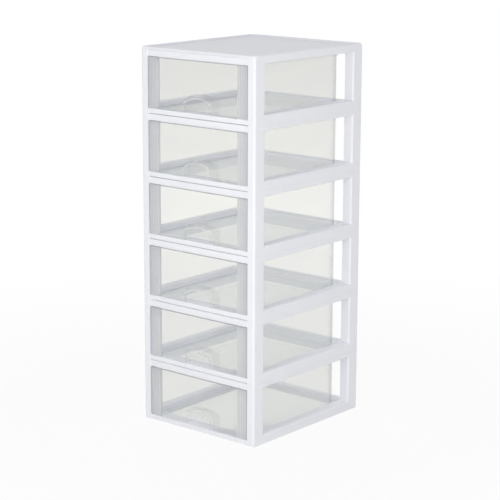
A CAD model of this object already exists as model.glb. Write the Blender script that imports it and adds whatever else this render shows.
# %% [markdown]
# # A plastic drawer tower
#
# The real thing is six stacked tiers. Each tier is an open frame of white moulded plastic round
# a clear drawer that pulls out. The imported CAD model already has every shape, so this lesson is
# about what the model can't say: how white and clear polypropylene take the light,
# and where the camera stood.

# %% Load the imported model
import math

import bpy
from mathutils import Matrix, Vector

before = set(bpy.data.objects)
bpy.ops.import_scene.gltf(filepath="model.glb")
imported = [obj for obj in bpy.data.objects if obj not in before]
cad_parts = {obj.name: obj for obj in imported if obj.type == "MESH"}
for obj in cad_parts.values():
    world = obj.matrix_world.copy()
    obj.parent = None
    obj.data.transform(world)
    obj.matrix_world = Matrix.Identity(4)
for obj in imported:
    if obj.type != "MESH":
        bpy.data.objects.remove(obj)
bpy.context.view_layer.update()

# %% [markdown]
# ## Small helpers
#
# Colours are written as sRGB hex values, the way a paint chip or a picture gives them. Blender
# works in linear light, so one function turns one into the other. A second function adds a node
# to a material, with its settings and its links in one call, which keeps each material short.

# %% Colour and node helpers
MM = 0.001
MATHS = "ShaderNodeMath"


def linear(hex_colour):
    """An sRGB hex colour, such as "#F3F3F7", as linear red, green, blue and alpha."""
    channels = [int(hex_colour[i:i + 2], 16) / 255 for i in (1, 3, 5)]
    return [c / 12.92 if c <= 0.04045 else ((c + 0.055) / 1.055) ** 2.4 for c in channels] + [1.0]


def add(tree, kind, settings=None, links=None):
    """Adds a node.

    settings: its properties, and the values of its inputs by name or number.
    links: the sources of its inputs. A source is a socket, or a node for its first output.
    """
    node = tree.nodes.new(kind)
    for name, value in (settings or {}).items():
        if isinstance(name, int) or name in node.inputs:
            node.inputs[name].default_value = value
        else:
            setattr(node, name, value)
    for name, source in (links or {}).items():
        socket = source.outputs[0] if isinstance(source, bpy.types.Node) else source
        tree.links.new(socket, node.inputs[name])
    return node


def new_material(name):
    """A material with an empty node tree, and that tree."""
    material = bpy.data.materials.new(name)
    material.use_nodes = True
    material.node_tree.nodes.clear()
    return material, material.node_tree


print("mid grey #808080 in linear light:", round(linear("#808080")[0], 3))

# %% [markdown]
# ## Satin white polypropylene
#
# The frames, rails, pins and top are injection-moulded polypropylene with white pigment. The
# mould was finely spark-eroded, so the skin is satin: it has no sharp reflections, only a wide
# soft sheen. Polypropylene's IOR is 1.49. The eroded skin's grain is about 0.3 mm, far too fine
# to show here, so it is drawn at 1.5 mm and kept very shallow. Slow clouds of roughness, about
# 60 mm across, stand for how the melt cooled and for handling. Both could be painted in a picture,
# but noise in the model's own coordinates needs no unwrapping and never shows a seam.

# %% Satin white polypropylene
IOR = 1.49
GRAIN_SIZE = 1.5 * MM
GRAIN_DEPTH = 0.02 * MM
CLOUD_SIZE = 60 * MM


def satin_white_polypropylene():
    material, tree = new_material("satin white polypropylene")
    place = add(tree, "ShaderNodeTexCoord").outputs["Object"]
    grain = add(tree, "ShaderNodeTexNoise", {"Scale": 1 / GRAIN_SIZE, "Detail": 2.0}, {"Vector": place})
    clouds = add(tree, "ShaderNodeTexNoise", {"Scale": 1 / CLOUD_SIZE, "Detail": 1.0}, {"Vector": place})
    whites = {"data_type": "RGBA", "A": linear("#F1F1F5"), "B": linear("#F5F5F9")}
    white = add(tree, "ShaderNodeMix", whites, {"Factor": clouds}).outputs["Result"]
    satin = add(tree, "ShaderNodeMapRange", {"To Min": 0.36, "To Max": 0.46}, {"Value": clouds})
    bump = add(tree, "ShaderNodeBump", {"Strength": 0.15, "Distance": GRAIN_DEPTH}, {"Height": grain})
    look = {"Base Color": white, "Roughness": satin, "Normal": bump}
    skin = add(tree, "ShaderNodeBsdfPrincipled", {"IOR": IOR}, look)
    add(tree, "ShaderNodeOutputMaterial", None, {"Surface": skin})
    return material


white_plastic = satin_white_polypropylene()
print("made", white_plastic.name)

# %% [markdown]
# ## The dull parts of the front plate
#
# The moulded edges of a drawer's front plate are duller than its face. Its outline shows as a fine
# grey line, and the rim of the finger opening as a fine pale one. Both ends of the plate carry fine
# upright flutes, which scatter what lies behind them into an even grey. All of this is finish, not
# shape, so three masks mark it, each worked out from a point's place on the drawer. The six drawers
# share one material, so a height is counted from the foot of the drawer's own tier.

# %% Where the front plate is dull
def node_box(name):
    """The lowest and the highest corner of a CAD node."""
    along = list(zip(*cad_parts[name].bound_box))
    return [min(values) for values in along], [max(values) for values in along]


drawer_low, drawer_high = node_box("drawer_1")
TIER = node_box("drawer_2")[0][2] - drawer_low[2]
PLATE_BACK = drawer_low[1] + 3.0 * MM     # y just behind the front plate
PLATE_SIDE = drawer_high[0]               # half its width
PLATE_TOP = drawer_high[2] - 0.2 * MM     # the stop tab at the drawer's rear stands 0.2 mm higher
OUTLINE = 1.6 * MM                        # width of the grey line
FLUTED = 26.8 * MM                        # how far the fluted ends reach in from the sides
FLUTE = 4.5 * MM                          # from flute to flute, drawn coarser than the real 1.5 mm
FLUTE_DULL, FLUTE_WAVE = 0.62, 0.08       # how dull the flutes are, and how much that swings
PULL_SIDE = 33 * MM                       # half the width of the finger opening
PULL_ARC = 65 * MM                        # radius of the arc over it
PULL_AXIS = -24.7 * MM                    # height of that arc's centre
PULL_RIM = 2.0 * MM                       # width of the pale line
RIM_FADE = {"From Min": 20 * MM, "From Max": 38 * MM, "To Min": 0.2, "To Max": 1.0}


def plate_masks(tree, place):
    """Three masks on the front plate: its outline, its fluted ends, and the opening's rim."""
    along = add(tree, "ShaderNodeSeparateXYZ", None, {"Vector": place}).outputs
    on_plate = add(tree, MATHS, {"operation": "LESS_THAN", 1: PLATE_BACK}, {0: along["Y"]})
    side = add(tree, MATHS, {"operation": "ABSOLUTE"}, {0: along["X"]})
    height = add(tree, MATHS, {"operation": "MODULO", 1: TIER}, {0: along["Z"]})

    from_side = add(tree, MATHS, {"operation": "SUBTRACT", 0: PLATE_SIDE}, {1: side})
    from_top = add(tree, MATHS, {"operation": "SUBTRACT", 0: PLATE_TOP}, {1: height})
    from_edge = add(tree, MATHS, {"operation": "MINIMUM"}, {0: from_side, 1: from_top})
    outline = add(tree, MATHS, {"operation": "LESS_THAN", 1: OUTLINE}, {0: from_edge})

    turns = add(tree, MATHS, {"operation": "MULTIPLY", 1: 2 * math.pi / FLUTE}, {0: side})
    wave = add(tree, MATHS, {"operation": "SINE"}, {0: turns})
    depth = add(tree, MATHS, {"operation": "MULTIPLY_ADD", 1: FLUTE_WAVE, 2: FLUTE_DULL}, {0: wave})
    at_end = add(tree, MATHS, {"operation": "LESS_THAN", 1: FLUTED}, {0: from_side})
    flutes = add(tree, MATHS, {"operation": "MULTIPLY"}, {0: at_end, 1: depth})

    over_axis = add(tree, MATHS, {"operation": "SUBTRACT", 1: PULL_AXIS}, {0: height})
    spoke = add(tree, "ShaderNodeCombineXYZ", None, {"X": side, "Y": over_axis})
    reach = add(tree, "ShaderNodeVectorMath", {"operation": "LENGTH"}, {0: spoke}).outputs["Value"]
    past_arc = add(tree, MATHS, {"operation": "SUBTRACT", 1: PULL_ARC}, {0: reach})
    past_side = add(tree, MATHS, {"operation": "SUBTRACT", 1: PULL_SIDE}, {0: side})
    past = add(tree, MATHS, {"operation": "MAXIMUM"}, {0: past_arc, 1: past_side})
    rim = add(tree, MATHS, {"operation": "LESS_THAN", 1: PULL_RIM}, {0: past})
    fade = add(tree, "ShaderNodeMapRange", RIM_FADE, {"Value": height})
    ring = add(tree, MATHS, {"operation": "MULTIPLY"}, {0: rim, 1: fade})

    masks = (outline, flutes, ring)
    return [add(tree, MATHS, {"operation": "MULTIPLY"}, {0: mask, 1: on_plate}) for mask in masks]


print("a tier is", round(TIER / MM, 1), "mm high, a front plate", round(2 * PLATE_SIDE / MM, 1), "mm wide")

# %% [markdown]
# ## Clear drawer plastic
#
# The drawers are moulded from natural polypropylene, clear with a little milk in it. A wall does
# three things to light. Most goes straight through. A little is scattered by the milk, which
# lifts what lies behind towards one soft tone, and the dull parts of the front plate scatter far
# more. And the polished skin mirrors, weakly from straight ahead and strongly at a low angle, by
# Fresnel's law for an IOR of 1.49. Each wall is a 2 mm solid, so light meets this skin twice. A mix
# of three shaders says just that, and it keeps the edges soft, where a glass shader would draw them
# black. A line of sight that runs low along a wall has more plastic to cross, and there its faint
# cool tint begins to show. The mirror is there only for what is looked at or mirrored itself, so
# the lamps' light reaches the inside of a drawer.

# %% Clear drawer plastic
FLOW_SIZE = 90 * MM                 # clouds of milk, from how the melt ran
OUTLINE_DULL, RING_DULL = 0.75, 0.4
FLUTE_GREY = 0.6                    # how far the flutes go towards the outline's grey


def milk_share(tree, place, outline, flutes, ring):
    """How much a wall scatters: a trace of milk, and far more where the front plate is dull."""
    flow = add(tree, "ShaderNodeTexNoise", {"Scale": 1 / FLOW_SIZE, "Detail": 1.0}, {"Vector": place})
    share = add(tree, "ShaderNodeMapRange", {"To Min": 0.02, "To Max": 0.03}, {"Value": flow})
    for mask, strength in ((outline, OUTLINE_DULL), (flutes, 1.0), (ring, RING_DULL)):
        dull = add(tree, MATHS, {"operation": "MULTIPLY", 1: strength}, {0: mask})
        share = add(tree, MATHS, {"operation": "MAXIMUM"}, {0: share, 1: dull})
    return share


def milk(tree, outline, flutes):
    """What the scattered light looks like: half comes back and half goes on through."""
    flute_grey = add(tree, MATHS, {"operation": "MULTIPLY", 1: FLUTE_GREY}, {0: flutes})
    grey = add(tree, MATHS, {"operation": "MAXIMUM"}, {0: outline, 1: flute_grey})
    tones = {"data_type": "RGBA", "A": linear("#F6F6F4"), "B": linear("#CED0D6")}
    tone = add(tree, "ShaderNodeMix", tones, {"Factor": grey}).outputs["Result"]
    back = add(tree, "ShaderNodeBsdfDiffuse", None, {"Color": tone})
    through = add(tree, "ShaderNodeBsdfTranslucent", None, {"Color": tone})
    return add(tree, "ShaderNodeMixShader", {0: 0.5}, {1: back, 2: through})


def mirror_share(tree):
    """How much the skin mirrors. Seen from inside the plastic, the IOR is turned over."""
    inside = add(tree, "ShaderNodeNewGeometry").outputs["Backfacing"]
    ior = add(tree, "ShaderNodeMapRange", {"To Min": IOR, "To Max": 1 / IOR}, {"Value": inside})
    law = add(tree, "ShaderNodeFresnel", None, {"IOR": ior})
    ray = add(tree, "ShaderNodeLightPath").outputs
    looked_at = add(
        tree, MATHS, {"operation": "MAXIMUM"}, {0: ray["Is Camera Ray"], 1: ray["Is Glossy Ray"]}
    )
    return add(tree, MATHS, {"operation": "MULTIPLY"}, {0: law, 1: looked_at})


def clear_milky_polypropylene():
    material, tree = new_material("clear milky polypropylene")
    place = add(tree, "ShaderNodeTexCoord").outputs["Object"]
    facing = add(tree, "ShaderNodeLayerWeight", {"Blend": 0.5}).outputs["Facing"]
    low_angle = add(tree, MATHS, {"operation": "POWER", 1: 3.0}, {0: facing})
    tints = {"data_type": "RGBA", "A": linear("#FEFEFE"), "B": linear("#F6F9FB")}
    tint = add(tree, "ShaderNodeMix", tints, {"Factor": low_angle}).outputs["Result"]
    clear = add(tree, "ShaderNodeBsdfTransparent", None, {"Color": tint})
    outline, flutes, ring = plate_masks(tree, place)
    share = milk_share(tree, place, outline, flutes, ring)
    wall = add(tree, "ShaderNodeMixShader", None, {0: share, 1: clear, 2: milk(tree, outline, flutes)})
    gloss = add(tree, "ShaderNodeBsdfGlossy", {"Roughness": 0.08})
    skin = add(tree, "ShaderNodeMixShader", None, {0: mirror_share(tree), 1: wall, 2: gloss})
    add(tree, "ShaderNodeOutputMaterial", None, {"Surface": skin})
    return material


clear_plastic = clear_milky_polypropylene()
print("made", clear_plastic.name)

# %% [markdown]
# ## Which piece gets which plastic
#
# Only the drawers are clear. Everything else, down to the hidden pins between the tiers, is moulded
# from the same white. Each CAD node is one piece of one plastic, so its name says which.

# %% Give every CAD node its finish
for name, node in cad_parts.items():
    finish = clear_plastic if name.startswith("drawer_") else white_plastic
    if not node.data.materials:
        node.data.materials.append(finish)
    for slot in node.material_slots:
        slot.material = finish
print("finished", len(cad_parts), "nodes")

# %% [markdown]
# ## Floor and light
#
# The tower stands in a plain white studio on a large pale sheet. Enough lamplight would turn the
# sheet white, but it would burn out the white plastic as well. So the lamps stay weak, and the
# sheet and the sky answer by the kind of ray. A ray that comes straight from the camera sees white
# there, with a trace of the sheet's own shading left in near the tower, so that the tower keeps a
# soft shadow. A ray that has come through a clear wall, or off a glossy one, sees the sheet as it
# is lit: a shade warmer and darker, and brightest two to four metres behind the tower, where the
# light on the sheet falls.

# %% What a ray sees
def ray_kinds(tree):
    """Two values: 1 for a ray that is seen or mirrored, and 1 for one that met the plastic first."""
    ray = add(tree, "ShaderNodeLightPath").outputs
    mirrored = add(
        tree, MATHS, {"operation": "MAXIMUM"}, {0: ray["Is Glossy Ray"], 1: ray["Is Transmission Ray"]}
    )
    passed = add(tree, MATHS, {"operation": "GREATER_THAN", 1: 0.5}, {0: ray["Transparent Depth"]})
    seen = add(tree, MATHS, {"operation": "MAXIMUM"}, {0: ray["Is Camera Ray"], 1: mirrored})
    met = add(tree, MATHS, {"operation": "MAXIMUM"}, {0: passed, 1: mirrored})
    return seen, met


def studio_white(tree, emitter, met):
    """White for a straight ray, and a warmer tone for one that met the plastic."""
    whites = {"data_type": "RGBA", "A": linear("#FFFFFF"), "B": linear("#FDFDF8")}
    white = add(tree, "ShaderNodeMix", whites, {"Factor": met}).outputs["Result"]
    return add(tree, emitter, {"Strength": 1.0}, {"Color": white})


print("studio white is", [round(c, 2) for c in linear("#FDFDF8")[:3]], "through the plastic")

# %% Floor
FLOOR_REACH = 30.0
# Shares of plain white on the sheet. From: metres from the tower's middle. To: the share there.
STRAIGHT = {"From Min": 0.5, "From Max": 1.5, "To Min": 0.9, "To Max": 1.0}
POOL_RISE = {"From Min": 0.5, "From Max": 2.2, "To Min": 0.68, "To Max": 0.89}
POOL_FALL = {"From Min": 3.5, "From Max": 6.5, "To Min": 0.0, "To Max": 0.16}


def sheet_share(tree, met):
    """How much of the sheet is plain studio white. The rest is the sheet's own shading."""
    place = add(tree, "ShaderNodeTexCoord").outputs["Object"]
    away = add(tree, "ShaderNodeVectorMath", {"operation": "LENGTH"}, {0: place}).outputs["Value"]
    straight = add(tree, "ShaderNodeMapRange", STRAIGHT, {"Value": away})
    rise = add(tree, "ShaderNodeMapRange", POOL_RISE, {"Value": away})
    fall = add(tree, "ShaderNodeMapRange", POOL_FALL, {"Value": away})
    pool = add(tree, MATHS, {"operation": "SUBTRACT"}, {0: rise, 1: fall})
    return add(tree, "ShaderNodeMix", {"data_type": "FLOAT"}, {"Factor": met, "A": straight, "B": pool})


def pale_studio_floor():
    material, tree = new_material("pale studio floor")
    seen, met = ray_kinds(tree)
    share = add(tree, MATHS, {"operation": "MULTIPLY"}, {0: seen, 1: sheet_share(tree, met)})
    matt = add(tree, "ShaderNodeBsdfDiffuse", {"Color": linear("#F4F4F0")})
    bright = studio_white(tree, "ShaderNodeEmission", met)
    sheet = add(tree, "ShaderNodeMixShader", None, {0: share, 1: matt, 2: bright})
    add(tree, "ShaderNodeOutputMaterial", None, {"Surface": sheet})
    return material


mesh = bpy.data.meshes.new("studio_floor")
corners = [(x * FLOOR_REACH, y * FLOOR_REACH, 0) for x, y in ((-1, -1), (1, -1), (1, 1), (-1, 1))]
mesh.from_pydata(corners, [], [(0, 1, 2, 3)])
mesh.materials.append(pale_studio_floor())
floor = bpy.data.objects.new("studio_floor", mesh)
bpy.context.scene.collection.objects.link(floor)
print("floor laid")

# %% Soft light from all round
world = bpy.data.worlds.new("studio")
bpy.context.scene.world = world
world.use_nodes = True
tree = world.node_tree
tree.nodes.clear()
seen, met = ray_kinds(tree)
around = add(tree, "ShaderNodeBackground", {"Color": linear("#F8FAFF"), "Strength": 0.52})
bright = studio_white(tree, "ShaderNodeBackground", met)
sky = add(tree, "ShaderNodeMixShader", None, {0: seen, 1: around, 2: bright})
add(tree, "ShaderNodeOutputWorld", None, {"Surface": sky})
print("world lit")

# %% [markdown]
# ## Lamps
#
# The tower's front is a little brighter than its right side, and its top is darker than both. Even
# light from all round can't do that, so two lamps stand in front, low and to the right. A weak one
# overhead fills the top, and one behind keeps the rear from going grey. They are large, so that no
# shadow has a hard edge, and none of them shows in a glossy skin.

# %% Soft lamps
LAMPS_FACE = Vector((0, 0, 0.4))    # the tower's middle


def soft_lamp(name, azimuth, elevation, distance, width, height, strength):
    """An area lamp that faces the tower's middle. Azimuth 0 is the front, 90 the right.

    Strength 1 gives a surface square to the lamp as much light as a white world of strength 1.
    """
    a, e = math.radians(azimuth), math.radians(elevation)
    away = Vector((math.sin(a) * math.cos(e), -math.cos(a) * math.cos(e), math.sin(e)))
    data = bpy.data.lights.new(name, "AREA")
    data.shape = "RECTANGLE"
    data.size = width
    data.size_y = height
    data.energy = strength * math.pi ** 2 * distance ** 2
    lamp = bpy.data.objects.new(name, data)
    lamp.location = LAMPS_FACE + away * distance
    lamp.rotation_euler = away.to_track_quat("Z", "Y").to_euler()
    lamp.visible_glossy = False
    bpy.context.scene.collection.objects.link(lamp)
    print("hung", name)


soft_lamp("front_lamp", azimuth=20, elevation=13, distance=2.4, width=1.4, height=0.9, strength=0.32)
soft_lamp("side_lamp", azimuth=66, elevation=13, distance=2.6, width=1.4, height=0.9, strength=0.165)
soft_lamp("top_lamp", azimuth=45, elevation=78, distance=2.6, width=1.4, height=1.4, strength=0.05)
soft_lamp("rear_lamp", azimuth=222, elevation=13, distance=2.8, width=1.4, height=0.9, strength=0.30)

# %% [markdown]
# ## The camera
#
# The camera stands to the right of the front, a little above the tower's top, and looks down by
# under 13 degrees. Its distance and lens could be set by eye, but they were worked out from the
# tower's straight edges, and the same fit gave the tower's proportions.

# %% Camera
CAMERA_PLACE = Vector((2.22186, -2.64981, 1.14324))
YAW, PITCH, ROLL = math.radians(40.066), math.radians(12.727), math.radians(0.201)

camera_data = bpy.data.cameras.new("camera")
camera_data.sensor_width = 36.0
camera_data.lens = 119.48
camera_data.clip_end = 100.0
forward = Vector((-math.sin(YAW) * math.cos(PITCH), math.cos(YAW) * math.cos(PITCH), -math.sin(PITCH)))
level = forward.cross(Vector((0, 0, 1))).normalized()
upright = level.cross(forward)
right = math.cos(ROLL) * level + math.sin(ROLL) * upright
up = right.cross(forward)
turn = Matrix((right, up, -forward)).transposed().to_4x4()
camera = bpy.data.objects.new("camera", camera_data)
camera.matrix_world = Matrix.Translation(CAMERA_PLACE) @ turn
bpy.context.scene.collection.objects.link(camera)
bpy.context.scene.camera = camera
bpy.context.scene.view_settings.view_transform = "Standard"
bpy.context.scene.cycles.transparent_max_bounces = 32    # a line of sight crosses many clear walls
print("camera at", [round(v, 3) for v in camera.location])
